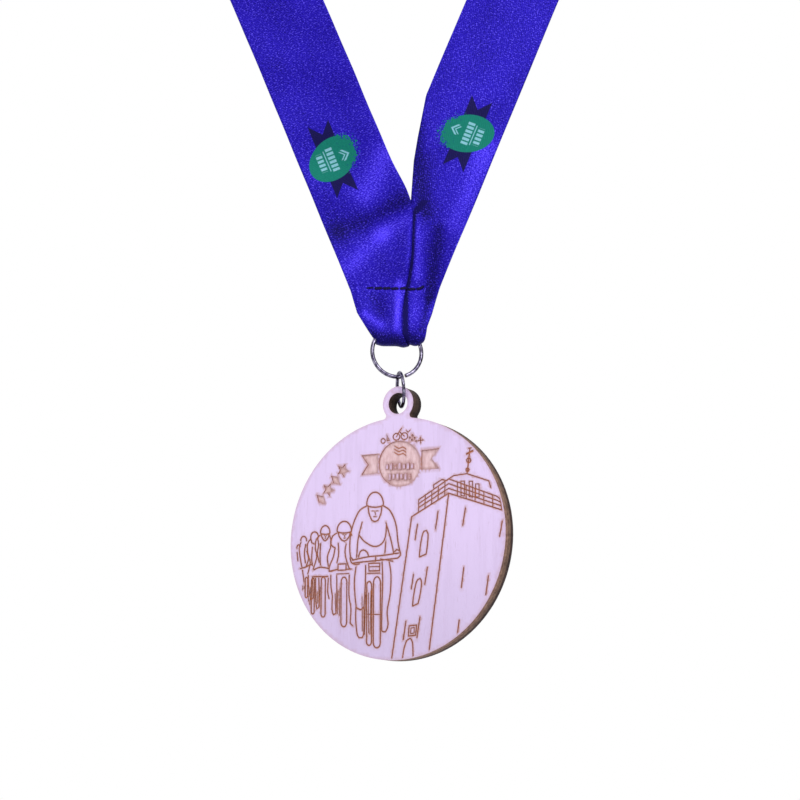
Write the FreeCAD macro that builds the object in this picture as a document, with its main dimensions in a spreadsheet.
"""Finisher medal: a laser-cut plywood disc on two jump rings and a neck ribbon.

Frame, in millimetres: +Z up, -Y the front. The neck ribbon hangs in the XZ plane
and the origin is the top of its neck loop, on the inside, where the wearer's neck
or a hook carries it. Heights in the sheet are measured up from the disc's centre.
"""
import FreeCAD, Part
import math
import os

import Sketcher
from FreeCAD import Vector

DRIVING = [
    # name, value, what it is
    ("disc_radius", 35.0, "plywood disc"),
    ("ply_front", 1.6, "engraved front ply"),
    ("ply_core", 1.8, "core ply"),
    ("ply_back", 1.6, "back ply"),
    ("ear_radius", 5.0, "hanging ear, outside"),
    ("hole_radius", 3.1, "hole in the ear"),
    ("ear_height", 39.2, "hole centre above the disc centre"),
    ("ear_blend", 1.0, "fillet where the ear meets the disc"),
    ("medal_yaw", -28.1, "how far the hanging disc has turned, degrees"),
    ("medal_lean", 1.3, "how far the disc hangs off plumb, degrees"),
    ("medal_offset", 2.4, "hole centre to the right of the ribbon's middle"),
    ("small_radius", 5.0, "small jump ring, to the wire's centre"),
    ("small_wire", 0.5, "small ring wire radius"),
    ("small_yaw", 10.0, "turn of the small ring, degrees"),
    ("small_lean", 5.0, "lean of the small ring, degrees"),
    ("small_drop", -0.5, "lowest wire centre from the hole centre"),
    ("small_slit", 1.2, "closed butt joint of the small ring, degrees"),
    ("large_radius", 7.4, "large jump ring, to the wire's centre"),
    ("large_wire", 0.6, "large ring wire radius"),
    ("large_yaw", 14.0, "turn of the large ring, degrees"),
    ("large_offset", 0.89, "its centre, right of the ribbon's middle"),
    ("large_slit", 8.0, "open butt joint of the large ring, degrees"),
    ("large_slit_at", 15.5, "joint's place, degrees right of the bottom"),
    ("ring_play", 0.06, "clearance between the two rings"),
    ("ribbon_width", 26.0, "neck ribbon"),
    ("ribbon_thick", 0.8, "ribbon solid's thickness"),
    ("strap_angle", 22.0, "each strap from the vertical, degrees"),
    ("strap_apex", 75.1, "height where the straps' middles meet"),
    ("strap_end", 60.0, "flat run of each strap from the apex"),
    ("neck_radius", 87.0, "neck loop's arc"),
    ("twist_start", 95.0, "where the quarter twist starts, from the apex"),
    ("twist_end", 235.0, "where the quarter twist ends, from the apex"),
    ("crotch_height", 101.0, "where the two straps part"),
    ("crotch_offset", 4.2, "the same point, right of the middle"),
    ("crotch_knee", 12.0, "rise above it to where the inner edges run straight"),
    ("seam_offset", 3.4, "foot of the straps' overlap, right of the middle"),
    ("strap_foot", 73.1, "height of the straps' lower edge"),
    ("foot_half", 13.5, "half width at that edge"),
    ("lobe_bottom", 56.6, "lowest point of the fold that holds the ring"),
    ("lobe_top", 72.6, "top of that fold"),
    ("lobe_radius", 3.2, "outer radius of the fold"),
    ("lobe_wall", 0.6, "ribbon thickness in the fold"),
    ("lobe_neck", 6.0, "half width where the fold goes through the ring"),
    ("lobe_widens", 59.6, "height where the fold starts to widen"),
    ("lobe_tip", 0.45, "half thickness of the fold's top"),
    ("lobe_inner_tip", 0.05, "half thickness of the hollow's top"),
    ("stitch_height", 73.9, "row of stitches"),
    ("stitch_length", 17.0, "row of stitches"),
    ("stitch_offset", 0.3, "middle of the row, right of the ribbon's middle"),
    ("thread", 0.34, "thread thickness"),
]
LOOP_STEP = 7.0  # spacing of the neck loop's sections along the ribbon
CUT_MARGIN = 2.0  # how far a cutting outline reaches past the solid it trims

doc = FreeCAD.newDocument("finisher_medal")
sheet = doc.addObject("Spreadsheet::Sheet", "sizes")
for row, (name, value, meaning) in enumerate(DRIVING, start=1):
    sheet.set(f"A{row}", meaning)
    sheet.set(f"B{row}", str(value))
    sheet.setAlias(f"B{row}", name)
doc.recompute()


def size(name):
    """A driving dimension, read back from the sheet."""
    return float(sheet.get(name))


# ---------------------------------------------------------------- heights
APEX_TO_ARC = size("neck_radius") / math.sin(math.radians(size("strap_angle")))
TOP = size("strap_apex") + APEX_TO_ARC + size("neck_radius") - size("ribbon_thick") / 2


def level(height):
    """A height above the disc's centre, as Z in the part's frame."""
    return height - TOP


AXIS_X = Vector(1, 0, 0)
AXIS_Y = Vector(0, 1, 0)
AXIS_Z = Vector(0, 0, 1)


def upright(yaw, lean=0.0):
    """Turn a shape drawn flat in XY to stand up, facing -Y, then yaw and lean it."""
    stand = FreeCAD.Rotation(AXIS_X, 90)
    turn = FreeCAD.Rotation(AXIS_Z, yaw)
    tip = FreeCAD.Rotation(AXIS_Y, -lean)
    return tip.multiply(turn).multiply(stand)


# ---------------------------------------------------------------- PartDesign helpers
def new_body(label):
    body = doc.addObject("PartDesign::Body", label)
    body.Label = label
    return body


def sketch_on(body, role, name):
    """A sketch on one of the body's own origin planes."""
    plane = [f for f in body.Origin.OriginFeatures if f.Role == role][0]
    sketch = body.newObject("Sketcher::SketchObject", name)
    sketch.AttachmentSupport = [(plane, "")]
    sketch.MapMode = "FlatFace"
    return sketch


def add_circle(sketch, radius, height=None):
    """A circle on the sketch's vertical axis, bound to the sheet's cells."""
    index = sketch.addGeometry(Part.Circle(Vector(0, 0, 0), AXIS_Z, 1.0))
    number = sketch.addConstraint(Sketcher.Constraint("Radius", index, 1.0))
    sketch.setExpression(f"Constraints[{number}]", radius)
    if height is None:
        sketch.addConstraint(Sketcher.Constraint("Coincident", index, 3, -1, 1))
        return
    sketch.addConstraint(Sketcher.Constraint("PointOnObject", index, 3, -2))
    number = sketch.addConstraint(Sketcher.Constraint("DistanceY", -1, 1, index, 3, 1.0))
    sketch.setExpression(f"Constraints[{number}]", height)


def add_outline(sketch, points):
    """A closed outline of straight lines through the points."""
    lines = []
    for start, end in zip(points, points[1:] + points[:1]):
        lines.append(sketch.addGeometry(Part.LineSegment(start, end)))
    for line, following in zip(lines, lines[1:] + lines[:1]):
        sketch.addConstraint(Sketcher.Constraint("Coincident", line, 2, following, 1))


def pad(body, sketch, name, length, symmetric=False):
    feature = body.newObject("PartDesign::Pad", name)
    feature.Profile = sketch
    feature.setExpression("Length", length)
    if symmetric:
        feature.SideType = "Symmetric"
    return feature


# ---------------------------------------------------------------- the plywood
HOLE_CENTRE = Vector(size("medal_offset"), 0, level(size("ear_height")))
MEDAL_TURN = upright(size("medal_yaw"))
MEDAL_TURN = MEDAL_TURN.multiply(FreeCAD.Rotation(AXIS_Z, -size("medal_lean")))


def make_ply(label, thickness, base_expression):
    """One ply: disc, hanging ear and its hole, drawn about the hole's centre.

    The steps aren't refined: the round disc keeps a flat face of its own, apart from
    the ear's, and the small ring hangs clear of it.
    """
    body = new_body(label)
    disc_sketch = sketch_on(body, "XY_Plane", label + "_disc_outline")
    add_circle(disc_sketch, "sizes.disc_radius", "-sizes.ear_height")
    ear_sketch = sketch_on(body, "XY_Plane", label + "_ear_outline")
    add_circle(ear_sketch, "sizes.ear_radius")
    for sketch in (disc_sketch, ear_sketch):
        sketch.setExpression("AttachmentOffset.Base.z", base_expression)
    pad(body, disc_sketch, label + "_disc", thickness)
    ear = pad(body, ear_sketch, label + "_ear", thickness)
    doc.recompute()
    blend = body.newObject("PartDesign::Fillet", label + "_blend")
    blend.Base = (ear, corner_edges(ear.Shape))
    blend.setExpression("Radius", "sizes.ear_blend")
    hole_sketch = sketch_on(body, "XY_Plane", label + "_hole_outline")
    add_circle(hole_sketch, "sizes.hole_radius")
    hole = body.newObject("PartDesign::Pocket", label + "_hole")
    hole.Profile = hole_sketch
    hole.Type = "ThroughAll"
    hole.SideType = "Symmetric"
    for feature in (ear, blend, hole):
        feature.Refine = False
    body.Placement = FreeCAD.Placement(HOLE_CENTRE, MEDAL_TURN)
    return body


def corner_edges(shape):
    """The two edges where the ear's rim meets the disc's rim."""
    names = []
    disc_centre = Vector(0, -size("ear_height"), 0)
    for number, edge in enumerate(shape.Edges, start=1):
        ends = [Vector(v.X, v.Y, 0) for v in (edge.Vertexes[0], edge.Vertexes[-1])]
        upright_edge = ends[0].distanceToPoint(ends[1]) < 1e-6 and len(edge.Vertexes) == 2
        on_ear = abs(ends[0].Length - size("ear_radius")) < 1e-4
        on_disc = abs(ends[0].distanceToPoint(disc_centre) - size("disc_radius")) < 1e-4
        if upright_edge and on_ear and on_disc:
            names.append(f"Edge{number}")
    return names


BACK_FACE = "-(sizes.ply_front + sizes.ply_core + sizes.ply_back) / 2"
make_ply("ply_back", "sizes.ply_back", BACK_FACE)
make_ply("ply_core", "sizes.ply_core", BACK_FACE + " + sizes.ply_back")
make_ply("ply_front", "sizes.ply_front", BACK_FACE + " + sizes.ply_back + sizes.ply_core")


# ---------------------------------------------------------------- the jump rings
def make_ring(label, radius, wire, slit, centre, turn):
    """A round-wire ring with its butt joint."""
    ring = doc.addObject("Part::Torus", label)
    ring.Label = label
    ring.setExpression("Radius1", radius)
    ring.setExpression("Radius2", wire)
    ring.setExpression("Angle3", f"360 - {slit}")
    ring.Placement = FreeCAD.Placement(centre, turn)
    return ring


lean = math.radians(size("small_lean"))
small_up = Vector(-math.sin(lean), 0, math.cos(lean))
small_centre = HOLE_CENTRE + AXIS_Z * size("small_drop") + small_up * size("small_radius")
small_turn = upright(90 + size("small_yaw"), size("small_lean"))
small_turn = small_turn.multiply(FreeCAD.Rotation(AXIS_Z, 180 + size("small_slit") / 2))
make_ring("small_ring", "sizes.small_radius", "sizes.small_wire", "sizes.small_slit",
          small_centre, small_turn)

# The large ring's wire lies in the top of the small ring, a little right of its own lowest point.
hang = size("small_radius") - size("small_wire") - size("large_wire") - size("ring_play")
rest_point = small_centre + small_up * hang
large_centre = Vector(size("large_offset"), 0, 0)
rest_angle = math.asin((rest_point.x - large_centre.x)
                       / (size("large_radius") * math.cos(math.radians(size("large_yaw")))))
large_centre.z = rest_point.z + size("large_radius") * math.cos(rest_angle)
large_centre.y = -(rest_point.x - large_centre.x) * math.tan(math.radians(size("large_yaw")))
slit_end = size("large_slit_at") + size("large_slit") / 2 - 90
large_turn = upright(size("large_yaw")).multiply(FreeCAD.Rotation(AXIS_Z, slit_end))
make_ring("large_ring", "sizes.large_radius", "sizes.large_wire", "sizes.large_slit",
          large_centre, large_turn)


# ---------------------------------------------------------------- the ribbon
SLOPE = math.tan(math.radians(size("strap_angle")))
ANGLE = math.radians(size("strap_angle"))
HALF = size("ribbon_width") / 2
APEX = Vector(0, 0, level(size("strap_apex")))


def strap_edge(height, side, inner):
    """Across position of a strap's edge at a height, on the side -1 or +1."""
    middle = (height - size("strap_apex")) * SLOPE
    shift = -HALF / math.cos(ANGLE) if inner else HALF / math.cos(ANGLE)
    return side * (middle + shift)


def flat_point(across, height):
    """A point of a sketch on the body's XZ plane."""
    return Vector(across, level(height), 0)


def make_strap(label, side):
    """The flat lower run of one strap, from its foot to a square end."""
    along = Vector(side * math.sin(ANGLE), math.cos(ANGLE), 0)
    across = Vector(math.cos(ANGLE), -side * math.sin(ANGLE), 0)
    end = Vector(0, APEX.z, 0) + along * size("strap_end")
    foot = size("strap_foot")
    crotch = flat_point(size("crotch_offset"), size("crotch_height"))
    knee = size("crotch_height") + size("crotch_knee")
    outline = [
        flat_point(size("seam_offset"), foot),
        flat_point(side * size("foot_half"), foot),
        end + across * HALF * side,
        end - across * HALF * side,
        flat_point(strap_edge(knee, side, True), knee),
        crotch,
    ]
    body = new_body(label)
    sketch = sketch_on(body, "XZ_Plane", label + "_outline")
    add_outline(sketch, outline)
    pad(body, sketch, label + "_pad", "sizes.ribbon_thick", symmetric=True)
    return body


make_strap("ribbon_strap_left", -1)
make_strap("ribbon_strap_right", 1)


def loop_section(run):
    """Cross-section of the neck loop at a distance along it from the apex of the V."""
    straight = size("neck_radius") / SLOPE
    arc = size("neck_radius") * (math.pi + 2 * ANGLE)
    total = 2 * straight + arc
    side = -1 if run < total / 2 else 1
    near = min(run, total - run)
    if near < straight:
        centre = Vector(side * math.sin(ANGLE), 0, math.cos(ANGLE)) * near + APEX
        outward = Vector(side * math.cos(ANGLE), 0, -math.sin(ANGLE))
    else:
        turned = (near - straight) / size("neck_radius") - ANGLE
        outward = Vector(side * math.cos(turned), 0, math.sin(turned))
        centre = APEX + AXIS_Z * APEX_TO_ARC + outward * size("neck_radius")
    share = (near - size("twist_start")) / (size("twist_end") - size("twist_start"))
    share = min(max(share, 0.0), 1.0)
    twist = math.pi / 2 * share * share * (3 - 2 * share)
    width = outward * math.cos(twist) + AXIS_Y * math.sin(twist)
    thick = outward * math.sin(twist) - AXIS_Y * math.cos(twist)
    corners = [centre + width * HALF * a + thick * size("ribbon_thick") / 2 * b
               for a, b in ((-1, -1), (1, -1), (1, 1), (-1, 1))]
    return Part.makePolygon(corners + corners[:1]), total


def make_neck_loop():
    """The rest of the ribbon: up one strap, round the neck and down the other."""
    total = loop_section(0)[1]
    first = size("strap_end")
    count = round((total - 2 * first) / LOOP_STEP)
    runs = [first + (total - 2 * first) * i / count for i in range(count + 1)]
    loop = doc.addObject("Part::Feature", "ribbon_neck_loop")
    loop.Label = "ribbon_neck_loop"
    loop.Shape = Part.makeLoft([loop_section(run)[0] for run in runs], True, True)
    loop.Placement = FreeCAD.Placement()
    return loop


make_neck_loop()


def drop_outline(sketch, radius, centre_height, reach, tip):
    """A drop: a round bottom and two tangent lines that close to a small flat top."""
    lean_angle = math.asin(radius / reach)
    centre = Vector(0, level(centre_height), 0)
    touch = Vector(math.cos(lean_angle), math.sin(lean_angle), 0) * radius
    top_height = reach - tip / math.tan(lean_angle)
    right = centre + touch
    left = centre + Vector(-touch.x, touch.y, 0)
    top_right = centre + Vector(tip, top_height, 0)
    top_left = centre + Vector(-tip, top_height, 0)
    bottom = centre - Vector(0, radius, 0)
    sketch.addGeometry(Part.Arc(left, bottom, right))
    sketch.addGeometry(Part.LineSegment(right, top_right))
    sketch.addGeometry(Part.LineSegment(top_right, top_left))
    sketch.addGeometry(Part.LineSegment(top_left, left))


def make_lobe():
    """The ribbon's fold below the stitches, with the large ring's top inside it."""
    body = new_body("ribbon_fold")
    sketch = sketch_on(body, "YZ_Plane", "ribbon_fold_profile")
    centre_height = size("lobe_bottom") + size("lobe_radius")
    # The flat top comes out at lobe_top, as the tangent lines rise about reach for each radius.
    rise = size("lobe_top") - centre_height
    reach = rise / (1 - size("lobe_tip") / size("lobe_radius"))
    inner = size("lobe_radius") - size("lobe_wall")
    drop_outline(sketch, size("lobe_radius"), centre_height, reach, size("lobe_tip"))
    inner_reach = reach * inner / size("lobe_radius")
    drop_outline(sketch, inner, centre_height, inner_reach, size("lobe_inner_tip"))
    block = pad(body, sketch, "ribbon_fold_pad", "2 * sizes.foot_half", symmetric=True)
    doc.recompute()
    full = block.Shape.Volume
    cut_sketch = sketch_on(body, "XZ_Plane", "ribbon_fold_taper")
    for side in (-1, 1):
        neck = side * size("lobe_neck")
        edge = side * size("foot_half")
        beyond = side * (size("foot_half") + CUT_MARGIN)
        below = size("lobe_bottom") - CUT_MARGIN
        add_outline(cut_sketch, [
            flat_point(neck, below),
            flat_point(beyond, below),
            flat_point(beyond, size("lobe_top")),
            flat_point(edge, size("lobe_top")),
            flat_point(neck, size("lobe_widens")),
        ])
    cut = body.newObject("PartDesign::Pocket", "ribbon_fold_cut")
    cut.Profile = cut_sketch
    cut.Type = "ThroughAll"
    cut.SideType = "Symmetric"
    doc.recompute()
    if cut.Shape.Volume > 0.9 * full:
        raise RuntimeError("the fold's taper cut nothing")
    return body


make_lobe()


# ---------------------------------------------------------------- the stitches
def make_thread(label, front):
    """A row of stitches as one flat bar on the ribbon's front or back."""
    bar = doc.addObject("Part::Box", label)
    bar.Label = label
    bar.setExpression("Length", "sizes.stitch_length")
    bar.setExpression("Width", "sizes.thread")
    bar.setExpression("Height", "sizes.thread")
    left = size("stitch_offset") - size("stitch_length") / 2
    skin = size("ribbon_thick") / 2
    depth = -skin - size("thread") if front else skin
    bar.Placement.Base = Vector(left, depth, level(size("stitch_height")))
    return bar


make_thread("needle_thread", True)
make_thread("bobbin_thread", False)

# ---------------------------------------------------------------- check and write
doc.recompute()
for thing in doc.Objects:
    if "Invalid" in thing.State or "Error" in thing.State:
        raise RuntimeError(f"{thing.Name} failed: {thing.State}")


def is_node(thing):
    """Bodies and free-standing solids are pieces; a body's own features stay inside it."""
    if thing.isDerivedFrom("PartDesign::Body"):
        return True
    return thing.isDerivedFrom("Part::Feature") and thing.getParentGeoFeatureGroup() is None


os.makedirs("parts", exist_ok=True)
for node in filter(is_node, doc.Objects):
    shape = node.Shape
    if shape.isNull() or not shape.isValid() or len(shape.Solids) != 1:
        raise RuntimeError(f"{node.Label} is not one valid solid")
    shape.exportStep(f"parts/{node.Label}.step")
    box = shape.BoundBox
    print(f"{node.Label}: {shape.Volume:.1f} mm3, x {box.XMin:.1f} {box.XMax:.1f}, "
          f"y {box.YMin:.1f} {box.YMax:.1f}, z {box.ZMin:.1f} {box.ZMax:.1f}")
